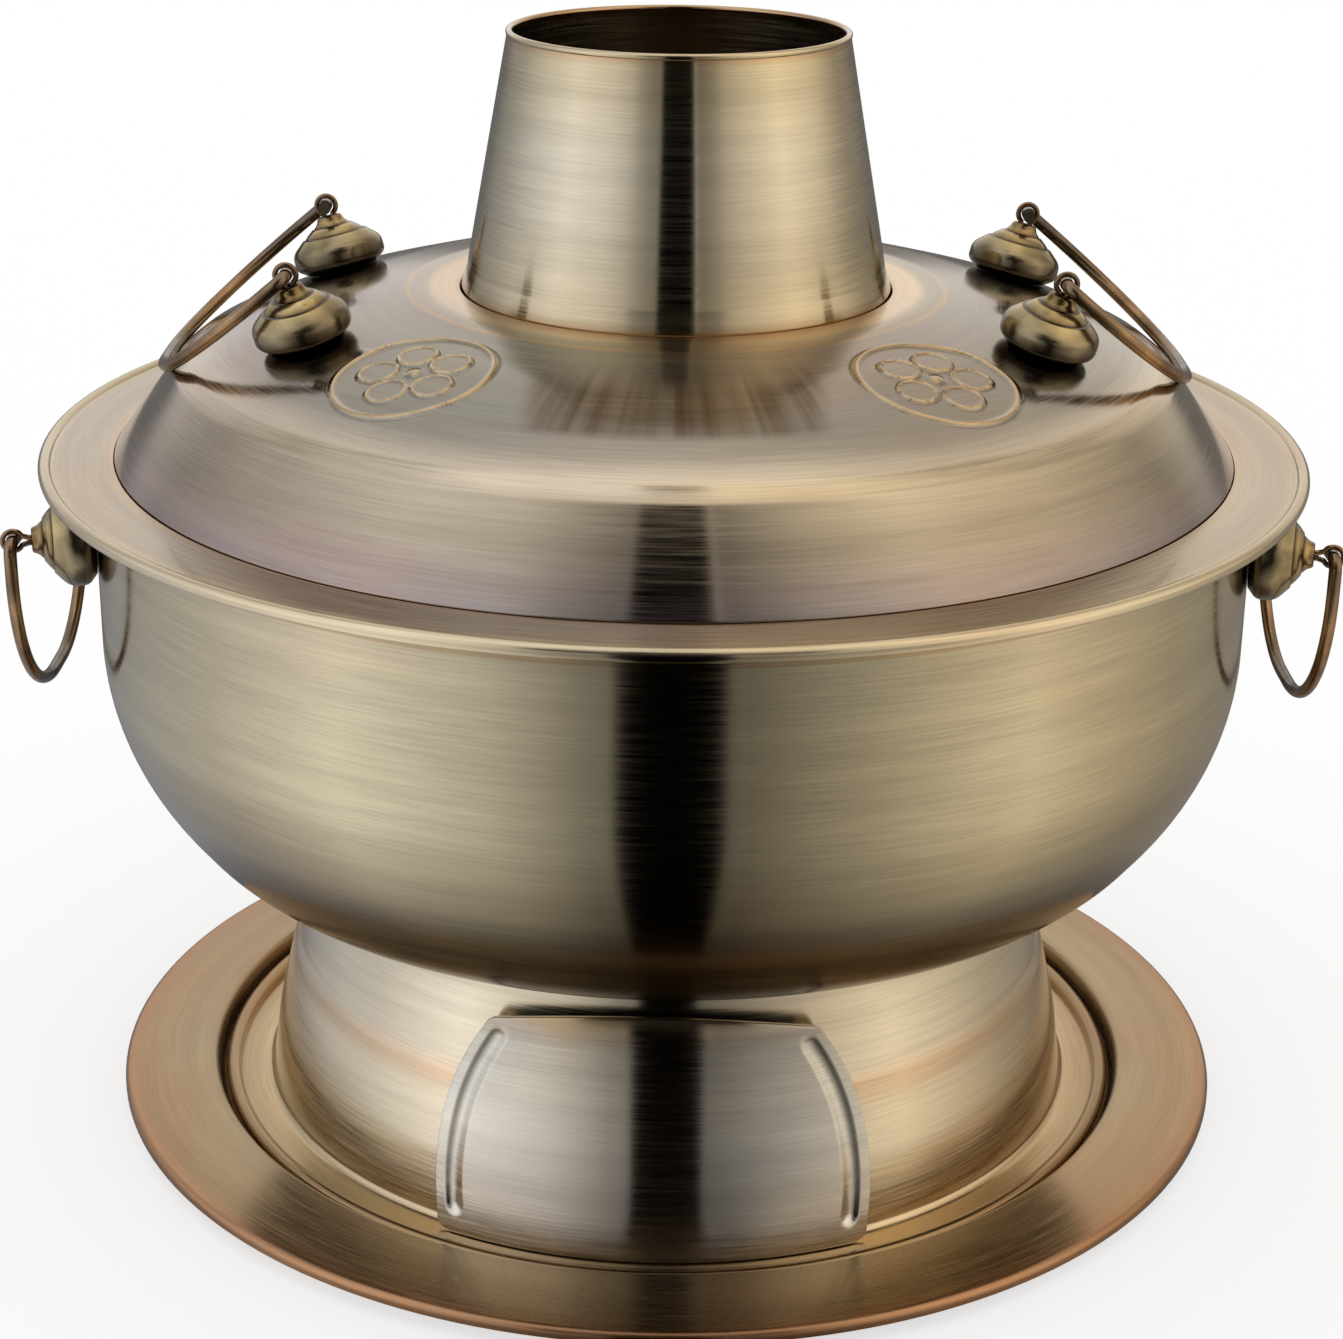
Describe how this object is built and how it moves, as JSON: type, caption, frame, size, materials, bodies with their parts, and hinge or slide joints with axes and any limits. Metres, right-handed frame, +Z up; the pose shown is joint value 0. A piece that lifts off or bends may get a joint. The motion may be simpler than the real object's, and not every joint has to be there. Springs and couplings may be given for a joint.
{
  "type": "chimney hot pot",
  "caption": "Charcoal hot pot of spun brass: ring-shaped bowl round a fire tube and chimney, lift-off lid, swinging wire bails, footed base with a sliding air door, and a tray.",
  "frame": {"origin": "middle of the tray's flat underside, on the table", "axes": "+Z up along the chimney; the air door faces -Y; the bails stand at -X and +X"},
  "size_m": [0.3526, 0.34, 0.2986],
  "materials": {
    "brushed_brass": "spun and brushed round the axis, aged to a greyish bronze",
    "polished_brass": "turned and polished, darker in the grooves",
    "cast_iron": "rough casting, sooty"
  },
  "bodies": {
    "tray": {"tray": "brushed_brass"},
    "pot": {"foot_skirt": "brushed_brass", "bowl": "brushed_brass", "rim_ring": "brushed_brass", "fire_tube": "brushed_brass", "charcoal_grate": "cast_iron", "pot_knobs": "polished_brass", "pot_eye_pins": "polished_brass", "pot_washers": "polished_brass"},
    "lid": {"lid": "brushed_brass", "lid_knobs": "polished_brass", "lid_eye_pins": "polished_brass", "lid_washers": "polished_brass"},
    "chimney": {"chimney": "brushed_brass"},
    "air_door": {"air_door": "brushed_brass", "door_hook": "brushed_brass"},
    "lid_bail_left": {"lid_bail_left": "polished_brass"},
    "lid_bail_right": {"lid_bail_right": "polished_brass"},
    "pot_bail_left": {"pot_bail_left": "polished_brass"},
    "pot_bail_right": {"pot_bail_right": "polished_brass"}
  },
  "joints": [
    {"name": "pot_lift", "type": "slide", "parent": "tray", "child": "pot", "axis": [0, 0, 1], "range_m": [0, 0.05]},
    {"name": "lid_lift", "type": "slide", "parent": "pot", "child": "lid", "axis": [0, 0, 1], "range_m": [0, 0.12]},
    {"name": "chimney_lift", "type": "slide", "parent": "pot", "child": "chimney", "axis": [0, 0, 1], "range_m": [0, 0.1]},
    {"name": "air_door_turn", "type": "hinge", "parent": "pot", "child": "air_door", "pos_m": [0, 0, 0.03], "axis": [0, 0, 1], "range_deg": [-14, 18]},
    {"name": "lid_bail_right_swing", "type": "hinge", "parent": "lid", "child": "lid_bail_right", "pos_m": [0.09841, 0, 0.24227], "axis": [0, -1, 0], "range_deg": [0, 160]},
    {"name": "lid_bail_left_swing", "type": "hinge", "parent": "lid", "child": "lid_bail_left", "pos_m": [-0.09841, 0, 0.24227], "axis": [0, 1, 0], "range_deg": [0, 160]},
    {"name": "pot_bail_right_swing", "type": "hinge", "parent": "pot", "child": "pot_bail_right", "pos_m": [0.17269, 0, 0.1703], "axis": [0, -1, 0], "range_deg": [-14, 170]},
    {"name": "pot_bail_left_swing", "type": "hinge", "parent": "pot", "child": "pot_bail_left", "pos_m": [-0.17269, 0, 0.1703], "axis": [0, 1, 0], "range_deg": [-14, 170]}
  ]
}
